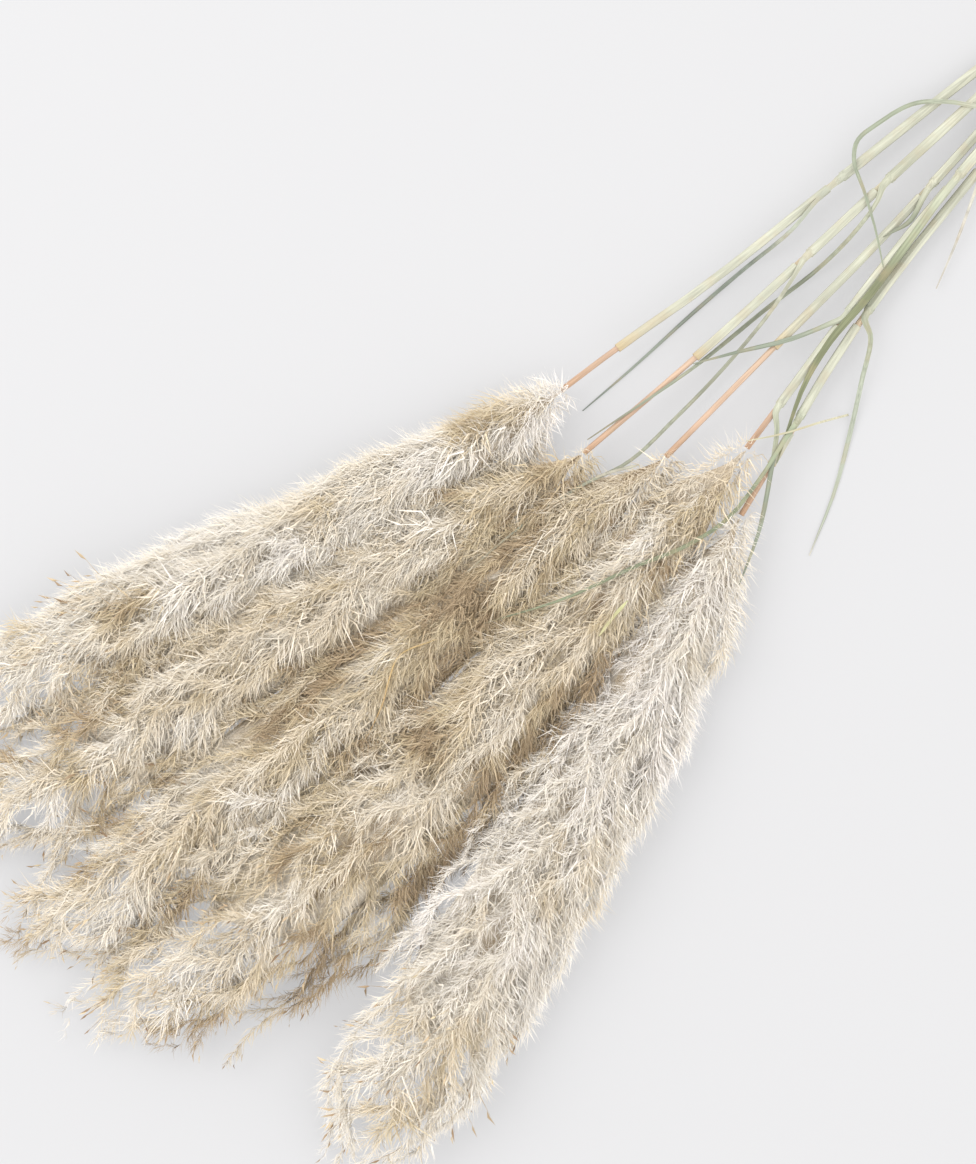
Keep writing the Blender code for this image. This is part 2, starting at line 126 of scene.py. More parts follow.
# the camera looks straight down. along and across are shares of the bundle's box, tall is in metres
cameraLook = {
    "turn": math.radians(-45.8),
    "height": 2.6,
    "subjectHeight": 0.02,
    "tall": 0.873,
    "along": 0.373,
    "across": 0.531,
    "clipEnd": 100,
}


def addCamera(look):
    low, high = cadBox
    middle = Vector((lift(look["along"], low[0], high[0]), lift(look["across"], low[1], high[1]), 0))
    data = bpy.data.cameras.new("camera")
    data.lens = data.sensor_width * (look["height"] - look["subjectHeight"]) / look["tall"]
    data.clip_end = look["clipEnd"]
    camera = linked("camera", data)
    camera.location = middle + up * look["height"]
    camera.rotation_euler = (0, 0, look["turn"])
    bpy.context.scene.camera = camera
    return middle


lightLook = {
    "keyPower": 42,
    "keySize": 2.2,
    "keyPlace": (-0.30, 2.1, 2.6),
    "fillPower": 10,
    "fillSize": 2.5,
    "fillPlace": (1.0, -2.2, 1.8),
    "sky": (1.0, 0.99, 0.985),
    "skyStrength": 1.51,
}


def addLights(look, middle):
    for name in ("key", "fill"):
        data = bpy.data.lights.new(name, "AREA")
        data.energy = look[name + "Power"]
        data.size = look[name + "Size"]
        light = linked(name, data)
        light.location = middle + Vector(look[name + "Place"])
        light.rotation_euler = (middle - light.location).to_track_quat("-Z", "Y").to_euler()
    world = bpy.data.worlds.new("studio")
    world.use_nodes = True
    background = world.node_tree.nodes["Background"]
    background.inputs["Color"].default_value = (*look["sky"], 1)
    background.inputs["Strength"].default_value = look["skyStrength"]
    bpy.context.scene.world = world
    bpy.context.scene.view_settings.view_transform = "Standard"


floorLook = {
    "colour": (0.25, 0.25, 0.254),
    "glow": 0.385,
    "glowColour": (0.99, 0.99, 1),
    "size": 60.0,
    "roughness": 0.7,
    "specular": 0.5,
}


def addFloor(look):
    bm = bmesh.new()
    bmesh.ops.create_grid(bm, x_segments=1, y_segments=1, size=look["size"] / 2)
    floor = objectFrom("floor", bm)
    material, tree, shader = startMaterial("floorPaper", look)
    shader.inputs["Base Color"].default_value = (*look["colour"], 1)
    shader.inputs["Emission Color"].default_value = (*look["glowColour"], 1)
    shader.inputs["Emission Strength"].default_value = look["glow"]
    floor.data.materials.append(material)


# tones are the colours of a hair from dark to pale, and roots shade it from its root up
hairLook = {
    "roughness": 0.85,
    "specular": 0.15,
    "roots": ((0.0, (0.80, 0.74, 0.64)), (0.35, (0.93, 0.91, 0.87)), (0.9, (1, 1, 1))),
    "tones": (
        (0.00, (0.085, 0.055, 0.038)),
        (0.12, (0.300, 0.210, 0.135)),
        (0.26, (0.560, 0.445, 0.300)),
        (0.38, (0.690, 0.585, 0.400)),
        (0.52, (0.820, 0.722, 0.575)),
        (0.66, (0.900, 0.835, 0.725)),
        (0.80, (0.940, 0.900, 0.835)),
        (0.92, (0.950, 0.905, 0.865)),
        (1.00, (0.960, 0.930, 0.900)),
    ),
}


def makeHairMaterial(look):
    # u runs along a hair, v is its tone
    material, tree, shader = startMaterial("plumeHair", look)
    uv = addNode(tree, "ShaderNodeUVMap", (-900, 0), uv_map="OFBake")
    parts = addNode(tree, "ShaderNodeSeparateXYZ", (-720, 0))
    tones = colourRamp(tree, look["tones"], (-540, 120))
    roots = colourRamp(tree, look["roots"], (-540, -160))
    mix = addNode(
        tree, "ShaderNodeMix", (-220, 0), data_type="RGBA", blend_type="MULTIPLY", inputs={"Factor": 1}
    )
    links = tree.links
    links.new(uv.outputs["UV"], parts.inputs[0])
    links.new(parts.outputs["Y"], tones.inputs["Fac"])
    links.new(parts.outputs["X"], roots.inputs["Fac"])
    links.new(tones.outputs["Color"], mix.inputs[6])
    links.new(roots.outputs["Color"], mix.inputs[7])
    links.new(mix.outputs[2], shader.inputs["Base Color"])
    return material


# widths, bows and lengths are shares of a tuft's size. softness is how much a hair's own normal and the
# plume's outward direction count in its shading
tuftLook = {
    "seed": 100,
    "kinds": 6,
    "spikes": 2,
    "bows": 4,
    "spread": 0.92,
    "leans": (0.1, 1.0),
    "lengths": (0.55, 1.0),
    "spikeWidth": 0.0145,
    "bowWidth": 0.026,
    "widths": (0.75, 1.25),
    "bow": 0.20,
    "bowing": (0.3, 1.2),
    "waist": 0.4,
    "hook": 0.5,
    "weld": 0.01,
    "shades": 14,
    "shadeStep": 0.004,
    "driftScale": 48,
    "drift": 0.010,
    "softness": (0.30, 0.90),
}

# a spikelet's stalk and floret have a length, a width and a bow. along and past say from where on it grows
spikeletLook = {
    "stalk": (1.0, 0.022, 0.06),
    "floret": (0.36, 0.075, 0.02),
    "floretAt": 0.78,
    "share": 0.14,
    "along": 0.45,
    "past": 0.7,
    "ahead": 1.2,
    "sizes": (0.8, 1.25),
    "tones": (0.10, 0.36),
}


def addHair(bm, place, length, width, bow, shade=0):
    # a thin three-sided spindle. A bowed one is fattest at its waist
    waist = tuftLook["waist"] * length if bow else 0.0
    shape = place @ Matrix.Translation((bow, 0, (length + waist) / 2))
    made = bmesh.ops.create_cone(
        bm, cap_ends=True, segments=3, radius1=width / 2, radius2=0, depth=length - waist, matrix=shape
    )
    bmesh.ops.remove_doubles(bm, verts=made["verts"], dist=width * tuftLook["weld"])
    verts = [v for v in made["verts"] if v.is_valid]
    back = place.inverted()
    if bow:
        faces = {f for v in verts for f in v.link_faces}
        base = min(faces, key=lambda f: (back @ f.calc_center_median()).z)
        centre = bmesh.ops.poke(bm, faces=[base])["verts"][0]
        centre.co = place.translation
        verts.append(centre)
        tip = max(verts, key=lambda v: (back @ v.co).z)
        tip.co = place @ Vector((-bow * tuftLook["hook"], 0, length))
    along, spread = bm.verts.layers.float["along"], bm.verts.layers.float["spread"]
    for vert in verts:
        local = back @ vert.co
        vert[along] = clamp(local.z / length)
        vert[spread] = shade + clamp(local.y / width * 2, -1)


def startTemplate():
    bm = bmesh.new()
    floatLayers(bm, "along", "spread")
    return bm


def makeTuft(look, index):
    rng = random.Random(look["seed"] + index)
    bm = startTemplate()
    count = look["spikes"] + look["bows"]
    for i in range(count):
        turn = Matrix.Rotation(2 * math.pi * (i + rng.random()) / count, 4, "Z")
        lean = Matrix.Rotation(look["spread"] * rng.uniform(*look["leans"]), 4, "X")
        twist = Matrix.Rotation(rng.uniform(0, 2 * math.pi), 4, "Z")
        length = rng.uniform(*look["lengths"])
        bowed = i < look["bows"]
        width = (look["bowWidth"] if bowed else look["spikeWidth"]) * rng.uniform(*look["widths"])
        bow = look["bow"] * length * rng.uniform(*look["bowing"]) if bowed else 0
        addHair(bm, turn @ lean @ twist, length, width, bow, look["shades"] * rng.uniform(-1, 1))
    return objectFrom(f"tuft{index}", bm)


def makeSpikelet(look):
    # a dry floret on its fine stalk
    bm = startTemplate()
    addHair(bm, Matrix(), *look["stalk"])
    addHair(bm, Matrix.Translation((0, 0, look["floretAt"])), *look["floret"])
    return objectFrom("spikelet", bm)


def makeTuftTree(kinds, look):
    # one tuft on each point, turned and sized by the point's own values, then made real
    tree = bpy.data.node_groups.new("plantTufts", "GeometryNodeTree")
    for side in ("INPUT", "OUTPUT"):
        tree.interface.new_socket("Geometry", in_out=side, socket_type="NodeSocketGeometry")
    links = tree.links

    def named(name, kind, place):
        node = addNode(
            tree, "GeometryNodeInputNamedAttribute", place, data_type=kind, inputs={"Name": name}
        )
        return node.outputs["Attribute"]

    start = addNode(tree, "NodeGroupInput", (-1000, 200))
    stock = addNode(
        tree, "GeometryNodeCollectionInfo", (-1000, 0),
        inputs={"Collection": kinds, "Separate Children": True, "Reset Children": True}
    )
    plant = addNode(tree, "GeometryNodeInstanceOnPoints", (-700, 100), inputs={"Pick Instance": True})
    links.new(start.outputs[0], plant.inputs["Points"])
    links.new(stock.outputs[0], plant.inputs["Instance"])
    links.new(named("kind", "INT", (-1000, -200)), plant.inputs["Instance Index"])
    links.new(named("turn", "QUATERNION", (-1000, -350)), plant.inputs["Rotation"])
    links.new(named("size", "FLOAT_VECTOR", (-1000, -500)), plant.inputs["Scale"])
    real = addNode(tree, "GeometryNodeRealizeInstances", (-450, 100))
    links.new(plant.outputs[0], real.inputs[0])
    # the hairs wander a little, most at their tips
    drift = addNode(
        tree, "ShaderNodeTexNoise", (-700, -300), inputs={"Scale": look["driftScale"], "Detail": 1}
    )
    centred = addNode(
        tree, "ShaderNodeVectorMath", (-500, -300), operation="SUBTRACT", inputs={1: (0.5, 0.5, 0.5)}
    )
    far = addNode(tree, "ShaderNodeMath", (-500, -480), operation="MULTIPLY", inputs={1: look["drift"]})
    wander = addNode(tree, "ShaderNodeVectorMath", (-300, -300), operation="SCALE")
    move = addNode(tree, "GeometryNodeSetPosition", (-200, 100))
    links.new(named("along", "FLOAT", (-700, -500)), far.inputs[0])
    links.new(drift.outputs["Color"], centred.inputs[0])
    links.new(centred.outputs[0], wander.inputs[0])
    links.new(far.outputs[0], wander.inputs["Scale"])
    links.new(real.outputs[0], move.inputs["Geometry"])
    links.new(wander.outputs[0], move.inputs["Offset"])
    # the map: along the hair, and its tone
    strip = addNode(
        tree, "ShaderNodeMath", (-300, -600), operation="MULTIPLY_ADD", inputs={1: look["shadeStep"]}
    )
    pair = addNode(tree, "ShaderNodeCombineXYZ", (-100, -500))
    store = addNode(
        tree, "GeometryNodeStoreNamedAttribute", (60, 100), data_type="FLOAT2", domain="CORNER",
        inputs={"Name": "OFBake"}
    )
    links.new(named("spread", "FLOAT", (-500, -700)), strip.inputs[0])
    links.new(named("tone", "FLOAT", (-500, -850)), strip.inputs[2])
    links.new(named("along", "FLOAT", (-300, -800)), pair.inputs[0])
    links.new(strip.outputs[0], pair.inputs[1])
    # each hair is lit mostly like the soft mass round it
    own = addNode(tree, "GeometryNodeInputNormal", (-100, -200))
    part = addNode(
        tree, "ShaderNodeVectorMath", (60, -200), operation="SCALE", inputs={"Scale": look["softness"][0]}
    )
    whole = addNode(
        tree, "ShaderNodeVectorMath", (60, -380), operation="SCALE", inputs={"Scale": look["softness"][1]}
    )
    joined = addNode(tree, "ShaderNodeVectorMath", (220, -200), operation="ADD")
    facing = addNode(tree, "ShaderNodeVectorMath", (380, -200), operation="NORMALIZE")
    soften = addNode(tree, "GeometryNodeSetMeshNormal", (400, 100), mode="FREE", domain="POINT")
    links.new(own.outputs["Normal"], part.inputs[0])
    links.new(named("outward", "FLOAT_VECTOR", (-100, -380)), whole.inputs[0])
    links.new(part.outputs[0], joined.inputs[0])
    links.new(whole.outputs[0], joined.inputs[1])
    links.new(joined.outputs[0], facing.inputs[0])
    links.new(facing.outputs[0], soften.inputs["Custom Normal"])
    links.new(store.outputs[0], soften.inputs["Mesh"])
    links.new(move.outputs[0], store.inputs["Geometry"])
    links.new(pair.outputs[0], store.inputs["Value"])
    end = addNode(tree, "NodeGroupOutput", (600, 100))
    links.new(soften.outputs[0], end.inputs[0])
    return tree


# under, top and side are the side branches that lie there: how many, up to where they start, how far out,
# and their turns round the plume's axis, from the side towards the last stalk over the top
plumeLook = {
    "sections": 15,
    "inset": 0.15,
    "step": 0.03,
    "under": {"count": 14, "until": 0.86, "edge": (0.45, 0.85), "turn": (0.12, 0.88)},
    "top": {"count": 36, "until": 0.90, "edge": (0.70, 1.02), "shake": 0.06, "inner": (0.2, 0.7)},
    "side": {"count": 26, "until": 0.88, "edge": (0.90, 1.10), "turns": ((0.1, 1.0), (-0.4, 0.6))},
    "extraTurns": ((-0.3, 0.6), (-0.9, -0.1)),
    "crowding": 0.9,
    "before": 0.01,
    "tailReach": (0.30, 0.17),
    "reaches": (0.8, 1.2),
    "tailPoints": 16,
    "leave": (0.8, 0.30),
    "leaveBy": 0.12,
    "leaveRate": 1.8,
    "axisHeight": 0.42,
    "skin": 0.004,
    "leastRoom": 0.001,
    "swirl": 0.22,
    "swirls": (0.5, 1),
    "fan": 0.14,
    "fullSplay": 2,
    "wave": 0.009,
    "waveRate": 3,
    "sway": (1, 6),
    "ripple": (0.5, 12),
    "bob": (0.5, 8),
    "flatBelow": 0.005,
    "laidAbove": 0.066,
    "lowest": 0.02,
}

# the tufts on a side branch: how close, how large, how they lean and how they thin out at the tip. They
# point away from an axis at the height heart, and stray from that by around
plantLook = {
    "gap": 0.0020,
    "gaps": (0.5, 1.5),
    "size": (0.0250, 0.0222),
    "sizes": (0.85, 1.2),
    "underGap": 0.0042,
    "underSize": (1.8, 1.8, 1.45),
    "fall": (0.45, 0.55),
    "fallFrom": 0.2,
    "heart": 0.3,
    "around": 0.75,
    "lean": (0.35, 0.90),
    "leanEase": 0.3,
    "neckLean": 0.8,
    "neckBy": 0.07,
    "out": 0.0008,
    "thinned": 0.6,
    "thinFrom": 0.9,
    "thinOver": 0.1,
}

# patches are pale and dark areas, hollows the dark between them. The pockets at a plume's sides are painted
# shade in the grooves between plumes, with some brown of their own.
# Their scales are per metre
toneLook = {
    "tails": 0.06,
    "tufts": 0.04,
    # under darkens the tufts that face down: painted shade
    "under": 0.08,
    "patches": (0.22, 0.20),
    "patchScales": (9, 24),
    "patchNarrow": 3,
    "patchAtNeck": 0.25,
    "patchBy": 0.15,
    "hollow": 0.26,
    "hollowFrom": 0.28,
    "hollowRate": 3,
    "grooveShade": 1.3,
    "pocketScale": 13,
    "pocketLevel": 0.55,
    "pocketContrast": 1.6,
    "pocketFrom": 0.45,
    "pocketRate": 2,
    "leastHalf": 0.01,
    "darkest": 0.21,
    "range": (0.012, 0.985),
}

# meets, side shades and splay are for the side towards the first stalk, then the side towards the last. The
# side shades darken or lighten the branches there: mostly painted shade in the groove by the next plume,
# with some brown
# of its own. extra has more side branches: their side, their count, the first and last start, how far out
# and how long
plumeTones = {
    "plume_01": {
        "seed": 11, "meets": (0, 0.82), "past": 0.02, "sparse": 1, "splay": (0.6, 2.4),
        "tone": 0.68, "contrast": 1.0, "core": 0.00, "sideShades": (0.06, -0.22),
        "extra": ((1, 9, -0.01, 0.14, (1.2, 2.0), 0.4), (-1, 9, 0.0, 0.7, (0.88, 1.0), 0.8)),
        "lengthwise": ((0.0, 0.18), (0.12, 0.08), (0.35, -0.03), (0.6, 0.0), (1.0, 0.05)),
    },
    "plume_02": {
        "seed": 12, "meets": (0.82, 0.82), "past": 0.02, "sparse": 1, "splay": (2.2, 2.4),
        "tone": 0.57, "contrast": 1.0, "core": -0.02, "sideShades": (-0.20, -0.15),
        "extra": ((1, 6, -0.01, 0.12, (1.2, 1.8), 0.4),),
        "lengthwise": ((0.0, -0.06), (0.2, 0.02), (0.6, 0.0), (0.85, 0.03), (1.0, 0.06)),
    },
    "plume_03": {
        "seed": 13, "meets": (0.82, 0.82), "past": 0.05, "sparse": 1, "splay": (2.2, 2.4),
        "tone": 0.53, "contrast": 1.1, "core": -0.08, "sideShades": (-0.12, -0.24),
        "extra": ((1, 6, -0.01, 0.12, (1.2, 1.8), 0.4),),
        "lengthwise": ((0.0, -0.02), (0.12, -0.06), (0.42, -0.14), (0.6, -0.04), (0.85, 0.04), (1.0, 0.06)),
    },
    "plume_04": {
        "seed": 14, "meets": (0.82, 0.55), "past": 0.05, "sparse": 1.24, "splay": (2.0, 2.0),
        "tone": 0.52, "contrast": 1.1, "core": -0.04, "sideShades": (-0.14, -0.36),
        "extra": ((1, 16, 0.26, 0.66, (1.10, 1.62), 1),),
        "lengthwise": ((0.0, 0.04), (0.16, 0.10), (0.3, -0.02), (0.5, 0.0), (0.8, 0.02), (1.0, 0.09)),
    },
    "plume_05": {
        "seed": 15, "meets": (0.5, 0), "past": 0.02, "sparse": 1.05, "splay": (2.6, 1.2),
        "tone": 0.80, "contrast": 0.55, "core": 0.06, "sideShades": (0.06, 0.0),
        "extra": ((1, 14, -0.01, 0.74, (0.90, 1.04), 0.8),),
        "lengthwise": ((0.0, -0.06), (0.1, 0.03), (0.5, 0.0), (0.75, -0.10), (1.0, -0.12)),
    },
}


def readPlume(node, sections, inset):
    # the middle line of a plume and the size of its section, read from its solid
    bm = bmesh.new()
    bm.from_mesh(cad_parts[node].data)
    neck = max((v.co for v in bm.verts), key=lambda p: p.x).copy()
    tip = min((v.co for v in bm.verts), key=lambda p: p.x).copy()
    way = Vector((tip.x - neck.x, tip.y - neck.y, 0))
    length = way.length
    way.normalize()
    side = up.cross(way)
    rows = []
    for i in range(sections):
        share = (i + inset) / (sections - 1 + 2 * inset)
        geometry = bm.verts[:] + bm.edges[:] + bm.faces[:]
        cut = bmesh.ops.bisect_plane(bm, geom=geometry, plane_co=neck + way * length * share, plane_no=way)
        points = [v.co for v in cut["geom_cut"] if isinstance(v, bmesh.types.BMVert)]
        across = [(p - neck).dot(side) for p in points]
        heights = [p.z for p in points]
        low, high = min(across), max(across)
        rows.append((share, (low + high) / 2, (high - low) / 2, max(heights), min(heights)))
    bm.free()
    base = Vector((neck.x, neck.y, 0))
    return {"node": node, "neck": base, "way": way, "side": side, "length": length, "rows": np.array(rows)}


def plumeAt(plume, share):
    # middle, half width, top and bottom at a share of the way from neck to tip
    rows = plume["rows"]
    middle, half, top, bottom = (float(np.interp(share, rows[:, 0], rows[:, k])) for k in (1, 2, 3, 4))
    place = plume["neck"] + plume["way"] * (plume["length"] * share) + plume["side"] * middle
    return place, half, top, bottom


def sideAt(plume, share):
    step = plumeLook["step"]
    along = plumeAt(plume, share + step)[0] - plumeAt(plume, share - step)[0]
    return up.cross(along.normalized())


def shareOf(plume, point):
    return (point - plume["neck"]).dot(plume["way"]) / plume["length"]


def tailLine(plume, start, turns, edges, long, look, rng):
    # a side branch leaves the axis, nears the outside of the plume and runs on to the tip
    reach = long * lift(start, *look["tailReach"]) * rng.uniform(*look["reaches"])
    reach = min(reach, 1.0 + rng.uniform(0, plume["past"]) - start)
    edge = rng.uniform(*edges)
    leave = lift(clamp(start / look["leaveBy"]), *look["leave"])
    swirl = look["swirl"] * rng.uniform(*look["swirls"])
    phases = [rng.uniform(0, 2 * math.pi) for _ in range(4)]
    points = []

    def wave(kind, phase):
        strength, rate = look[kind]
        return strength * math.sin(q * rate + phase)

    for i in range(look["tailPoints"]):
        q = i / (look["tailPoints"] - 1)
        share = start + reach * q
        middle, half, top, bottom = plumeAt(plume, share)
        away = edge * lift(1 - (1 - min(1, q * look["leaveRate"])) ** 2, leave, 1)
        grown = min(1, q * look["waveRate"])
        angle = lift(q, *turns) + swirl * grown * wave("sway", phases[3])
        centre = bottom + (top - bottom) * look["axisHeight"]
        tall = (top - centre) if math.sin(angle) > 0 else centre - bottom
        grow = grown * look["wave"]
        sway = grow * wave("sway", phases[0]) + grow * wave("ripple", phases[1])
        room = max(look["leastRoom"], half - look["skin"])
        high = max(look["leastRoom"], tall - look["skin"])
        splay = plume["splay"][math.cos(angle) > 0]
        fan = 1 + look["fan"] * q * q * splay
        sway *= min(1, splay / look["fullSplay"])
        point = middle + sideAt(plume, share) * (room * away * fan * math.cos(angle) + sway)
        points.append(point + up * (centre + high * away * math.sin(angle) + grow * wave("bob", phases[2])))
    return points


def sideTurns(spans, mirrored, rng):
    turns = [rng.uniform(*span) for span in spans]
    return [math.pi - turn for turn in turns] if mirrored else turns


def planTails(look, rng, extra):
    # of each side branch: its start, turns, how far out it lies, its length and if it lies deep
    under, top, side = look["under"], look["top"], look["side"]
    golden = (math.sqrt(5) - 1) / 2
    for j in range(under["count"]):
        turn = math.pi * rng.uniform(*under["turn"])
        yield under["until"] * j / under["count"], (turn, turn), under["edge"], 1, True
    for j in range(top["count"]):
        across = 2 * ((j * golden + top["shake"] * rng.random()) % 1) - 1
        turn = lift(0.5, math.acos(across), math.pi * (1 - across) / 2)
        turns = lift(rng.uniform(*top["inner"]), math.pi / 2, turn), turn
        start = top["until"] * (j / top["count"]) ** look["crowding"] - look["before"]
        yield start, turns, top["edge"], 1, False
    for j in range(side["count"]):
        turns = sideTurns(side["turns"], j % 2, rng)
        start = side["until"] * (j / side["count"]) ** look["crowding"] - look["before"]
        yield start, turns, side["edge"], 1, False
    for way, count, first, last, edges, reach in extra:
        for j in range(count):
            turns = sideTurns(look["extraTurns"], way < 0, rng)
            yield lift(j / count, first, last), turns, edges, reach, False


def walk(points, gap, rng):
    # places at about even gaps along a polyline: point, direction and share of the length
    lengths = [0.0]
    for a, b in zip(points, points[1:]):
        lengths.append(lengths[-1] + (b - a).length)
    total, k, here = lengths[-1], 0, gap * rng.random()
    while here < total:
        while lengths[k + 1] < here:
            k += 1
        share = (here - lengths[k]) / (lengths[k + 1] - lengths[k])
        yield points[k].lerp(points[k + 1], share), (points[k + 1] - points[k]).normalized(), here / total
        here += gap * rng.uniform(*plantLook["gaps"])


def turnTo(way, bend):
    # lays a tuft's length along way and bends it towards bend
    x = (bend - way * bend.dot(way)).normalized()
    y = way.cross(x)
    return Matrix((x, y, way)).transposed().to_quaternion()


coreLook = {
    "cuts": 2,
    "wide": (0.84, 1.07),
    "meetsOver": 0.12,
    "neckThin": 0.12,
    "neckBy": 0.10,
    "tipThin": 0.6,
    "tipFrom": 0.72,
    "tipOver": 0.28,
    "tipPower": 1.5,
    "drawn": 0.72,
    "drawnFrom": 0.74,
    "tall": 0.50,
    "raise": 0.002,
    "lowest": 0.0008,
    "lumps": (14, 75),
    "ridges": 0.0045,
    "hollow": (0.28, 0.30),
    "hollowFrom": 0.25,
    "hollowOver": 0.5,
    "stretch": 6,
    "broadScale": 90,
    "fineScale": 900,
    "fineTwist": 1.5,
    "fineShare": 0.5,
    "bump": 0.8,
    "bumpDepth": 0.0015,
    "roughness": 0.95,
    "specular": 0.1,
    # the core's darker browns are partly the plume's own brown inside and partly painted shade seen between
    # the side branches
    "tones": ((0.34, (0.250, 0.165, 0.100)), (0.70, (0.560, 0.450, 0.315)), (1.0, (0.820, 0.745, 0.630))),
}


def makeCoreMaterial(look, plume, tone):
    # blurred fuzz: streaks along the plume, darker in the hollows, where the dips between the ridges get
    # painted shade
    material, tree, shader = startMaterial(f"{plume['node']}Down", look)
    links = tree.links
    place = addNode(tree, "ShaderNodeTexCoord", (-1300, 0))
    turn = (0, 0, math.atan2(plume["way"].y, plume["way"].x))
    stretch = {"Rotation": turn, "Scale": (look["stretch"], 1, 1)}
    lay = addNode(tree, "ShaderNodeMapping", (-1100, 0), stretch, vector_type="TEXTURE")
    broad = addNode(
        tree, "ShaderNodeTexNoise", (-850, 200), inputs={"Scale": look["broadScale"], "Detail": 3}
    )
    fine = addNode(
        tree, "ShaderNodeTexNoise", (-850, -150),
        inputs={"Scale": look["fineScale"], "Detail": 4, "Distortion": look["fineTwist"]}
    )
    hollow = addNode(tree, "ShaderNodeAttribute", (-850, 450), attribute_name="hollow")
    both = addNode(
        tree, "ShaderNodeMath", (-600, 50), operation="MULTIPLY_ADD", inputs={1: look["fineShare"]}
    )
    deeper = addNode(tree, "ShaderNodeMath", (-420, 150), operation="ADD")
    lifted = addNode(tree, "ShaderNodeMath", (-250, 150), operation="ADD", inputs={1: tone})
    ramp = colourRamp(tree, look["tones"], (-80, 150))
    bump = addNode(
        tree, "ShaderNodeBump", (-200, -250),
        inputs={"Strength": look["bump"], "Distance": look["bumpDepth"]}
    )
    links.new(place.outputs["Object"], lay.inputs["Vector"])
    links.new(lay.outputs[0], broad.inputs["Vector"])
    links.new(lay.outputs[0], fine.inputs["Vector"])
    links.new(fine.outputs["Fac"], both.inputs[0])
    links.new(broad.outputs["Fac"], both.inputs[2])
    links.new(both.outputs[0], deeper.inputs[0])
    links.new(hollow.outputs["Fac"], deeper.inputs[1])
    links.new(deeper.outputs[0], lifted.inputs[0])
    links.new(lifted.outputs[0], ramp.inputs["Fac"])
    links.new(ramp.outputs["Color"], shader.inputs["Base Color"])
    links.new(fine.outputs["Fac"], bump.inputs["Height"])
    links.new(bump.outputs[0], shader.inputs["Normal"])
    return material


def addCore(plume, look, tone):
    # the soft inside of the plume: its outline, drawn in and ridged lengthwise
    bm = bmesh.new()
    bm.from_mesh(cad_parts[plume["node"]].data)
    bmesh.ops.remove_doubles(bm, verts=bm.verts, dist=weld)
    bmesh.ops.subdivide_edges(bm, edges=bm.edges, cuts=look["cuts"], use_grid_fill=True)
    bm.normal_update()
    hollow = floatLayers(bm, "hollow")[0]
    lean = Matrix.Rotation(-math.atan2(plume["way"].y, plume["way"].x), 3, "Z")
    lengthwise, across = look["lumps"]
    moved = []
    for vert in bm.verts:
        share = shareOf(plume, vert.co)
        middle, half, top, bottom = plumeAt(plume, share)
        local = lean @ vert.co
        wave = noise.noise(Vector((local.x * lengthwise, local.y * across, local.z * across)))
        thin = clamp(share / look["neckBy"], look["neckThin"])
        thin *= 1 - look["tipThin"] * clamp((share - look["tipFrom"]) / look["tipOver"]) ** look["tipPower"]
        aside = vert.co - middle
        aside.z = 0
        shared = clamp((plume["meets"][aside.dot(plume["side"]) > 0] - share) / look["meetsOver"])
        flat = middle + aside * lift(shared, *look["wide"]) * thin
        flat -= plume["way"] * (plume["length"] * look["drawn"] * max(0, share - look["drawnFrom"]))
        rise = (vert.co.z - bottom) * look["tall"] * thin
        ridge = vert.normal * (wave * look["ridges"])
        moved.append((vert, flat + up * (bottom + rise + look["raise"]) + ridge, wave))
    for vert, place, wave in moved:
        vert.co = place
        vert.co.z = max(look["lowest"], vert.co.z)
        deep = clamp((shareOf(plume, place) - look["hollowFrom"]) / look["hollowOver"])
        # paler on the ridges and darker in the dips between them, a painted shade, and paler towards the tip
        vert[hollow] = look["hollow"][0] * wave + look["hollow"][1] * deep
    core = objectFrom(f"{plume['node']}Core", bm)
    finishPiece(core, makeCoreMaterial(look, plume, tone), "plume", plume["node"])


def tuftTone(plume, place, here, radial, look, tones, tailTone, rng):
    middle, half, _, _ = plumeAt(plume, here)
    sideways = (place - middle).dot(sideAt(plume, here))
    aside = sideways / max(look["leastHalf"], half)
    spot = Vector((here * plume["length"], sideways, tones["seed"]))
    narrow, scales = look["patchNarrow"], look["patchScales"]
    broad, small = (noise.noise(Vector((spot.x * k, spot.y * k * narrow, spot.z))) for k in scales)
    # a tuft that faces down is made darker, a painted shade
    tone = tailTone + rng.gauss(0, look["tufts"]) - look["under"] * max(0, -radial.z)
    patchy = tones["contrast"] * min(1, look["patchAtNeck"] + max(0, here) / look["patchBy"])
    tone += patchy * (look["patches"][0] * broad + look["patches"][1] * small)
    tone -= patchy * look["hollow"] * clamp((-broad - small - look["hollowFrom"]) * look["hollowRate"])
    # painted shade in patches at a plume's sides, in the grooves by its neighbours, with some brown of its
    # own
    grooveShade = noise.noise(place * look["pocketScale"] + up * tones["seed"])
    grooveShade = look["grooveShade"] * clamp(look["pocketLevel"] + look["pocketContrast"] * grooveShade)
    grooveShade *= tones["sideShades"][aside > 0]
    tone += grooveShade * clamp((abs(aside) - look["pocketFrom"]) * look["pocketRate"])
    tone += float(np.interp(here, *zip(*tones["lengthwise"])))
    return max(look["darkest"], tone)


